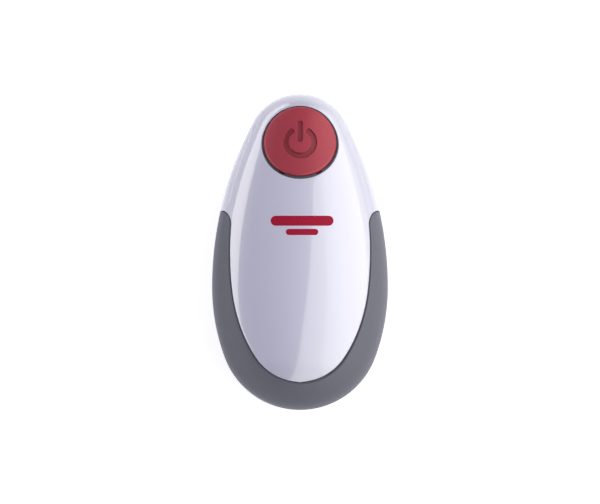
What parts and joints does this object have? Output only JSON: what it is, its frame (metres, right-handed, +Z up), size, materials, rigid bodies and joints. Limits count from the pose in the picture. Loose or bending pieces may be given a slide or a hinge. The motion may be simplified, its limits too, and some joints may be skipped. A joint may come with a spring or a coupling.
{
  "type": "electric can opener",
  "caption": "Hands-free battery can opener: egg-shaped housing with a press button on top, drive wheel, swinging cutter and magnet under the nose, sliding battery door.",
  "frame": {"origin": "centre of the bounding box in plan, on the plane it stands on", "axes": "+X to its left side seen from the nose, +Y from the tail to the nose with the button, +Z up"},
  "size_m": [0.103, 0.185, 0.06],
  "materials": {
    "white_gloss": "high gloss",
    "grey_satin": "satin",
    "red_satin": "fine satin",
    "dark_plastic": "satin",
    "spring_steel": "drawn wire",
    "zinc_steel": "zinc plated sheet",
    "natural_plastic": "moulded acetal",
    "brass": "machined",
    "machined_steel": "machined",
    "screw_steel": "plated",
    "stainless": "brushed",
    "magnet_plated": "nickel plated",
    "cell_jacket": "printed film without lettering",
    "nickel": "nickel plated",
    "wire_red": "insulation",
    "wire_black": "insulation",
    "wire_blue": "insulation",
    "rubber_black": "matt"
  },
  "bodies": {
    "housing": {"upper_housing": "white_gloss", "lower_housing": "grey_satin", "nose_guard": "grey_satin", "button_bezel": "dark_plastic", "button_spring": "spring_steel", "microswitch_body": "dark_plastic", "switch_bracket": "dark_plastic", "motor_can": "zinc_steel", "motor_end_cap": "natural_plastic", "motor_terminals": "brass", "motor_screws": "screw_steel", "gear_axle_1": "machined_steel", "gear_axle_2": "machined_steel", "gear_axle_3": "machined_steel", "lower_drive_bush": "brass", "upper_drive_bush": "brass", "carrier_stops": "machined_steel", "rim_plate": "stainless", "rim_plate_screws": "screw_steel", "lower_gear_plate": "zinc_steel", "upper_gear_plate": "zinc_steel", "spacer_posts": "machined_steel", "plate_screws": "screw_steel", "magnet": "magnet_plated", "magnet_holder": "grey_satin", "battery_tray": "dark_plastic", "battery_1": "cell_jacket", "battery_2": "cell_jacket", "battery_3": "cell_jacket", "battery_4": "cell_jacket", "contact_springs": "spring_steel", "contact_plates": "nickel", "wire_red": "wire_red", "wire_black": "wire_black", "wire_blue": "wire_blue", "housing_screws": "screw_steel", "foot_left": "rubber_black", "foot_right": "rubber_black"},
    "button": {"button": "red_satin"},
    "plunger": {"switch_plunger": "red_satin"},
    "door": {"battery_door": "grey_satin"},
    "rotor": {"motor_rotor": "machined_steel", "motor_pinion": "brass"},
    "gear1": {"gear_1": "natural_plastic"},
    "gear2": {"gear_2": "natural_plastic"},
    "gear3": {"gear_3": "natural_plastic"},
    "drive": {"drive_gear": "natural_plastic", "drive_shaft": "machined_steel", "drive_wheel": "machined_steel", "drive_nut": "machined_steel"},
    "cutgear": {"cutter_gear": "natural_plastic"},
    "carrier": {"cutter_carrier": "machined_steel", "cutter_bolt": "screw_steel", "clutch_spring_washer": "spring_steel", "carrier_clip": "spring_steel"},
    "cutter": {"cutter_wheel": "machined_steel"}
  },
  "joints": [
    {"name": "button_press", "type": "slide", "parent": "housing", "child": "button", "axis": [0, -0.2924, -0.9563], "range_m": [0, 0.0015], "stiffness_N_per_m": 900, "springref_m": -0.0012, "deforming": ["button_spring"]},
    {"name": "plunger_press", "type": "slide", "parent": "housing", "child": "plunger", "axis": [0, -0.2924, -0.9563], "range_m": [0, 0.0015]},
    {"name": "battery_door_slide", "type": "slide", "parent": "housing", "child": "door", "axis": [0, -1, 0], "range_m": [0, 0.075]},
    {"name": "drive_spin", "type": "hinge", "parent": "housing", "child": "drive", "pos_m": [0, 0.0624, 0.01], "axis": [0, 0, 1], "continuous": true},
    {"name": "gear_3_spin", "type": "hinge", "parent": "housing", "child": "gear3", "pos_m": [0.008, 0.0432, 0.018], "axis": [0, 0, 1], "continuous": true},
    {"name": "gear_2_spin", "type": "hinge", "parent": "housing", "child": "gear2", "pos_m": [-0.002, 0.03123, 0.018], "axis": [0, 0, 1], "continuous": true},
    {"name": "gear_1_spin", "type": "hinge", "parent": "housing", "child": "gear1", "pos_m": [0.004, 0.01748, 0.018], "axis": [0, 0, 1], "continuous": true},
    {"name": "motor_spin", "type": "hinge", "parent": "housing", "child": "rotor", "pos_m": [0, 0.00459, 0.035], "axis": [0, 0, 1], "continuous": true},
    {"name": "cutter_gear_spin", "type": "hinge", "parent": "housing", "child": "cutgear", "pos_m": [0, 0.0792, 0.015], "axis": [0, 0, 1], "continuous": true},
    {"name": "cutter_swing", "type": "hinge", "parent": "housing", "child": "carrier", "pos_m": [0, 0.0792, 0.012], "axis": [0, 0, 1], "range_deg": [0, 180]},
    {"name": "cutter_wheel_spin", "type": "hinge", "parent": "carrier", "child": "cutter", "pos_m": [0, 0.0818, 0.006], "axis": [0, 0, 1], "continuous": true}
  ],
  "couplings": [
    {"joint": "plunger_press", "follows": "button_press", "ratio": 1},
    {"joint": "gear_3_spin", "follows": "drive_spin", "ratio": -3.3333},
    {"joint": "gear_2_spin", "follows": "drive_spin", "ratio": 11.111},
    {"joint": "gear_1_spin", "follows": "drive_spin", "ratio": -44.444},
    {"joint": "motor_spin", "follows": "drive_spin", "ratio": 195.56},
    {"joint": "cutter_gear_spin", "follows": "drive_spin", "ratio": -1.4706}
  ]
}
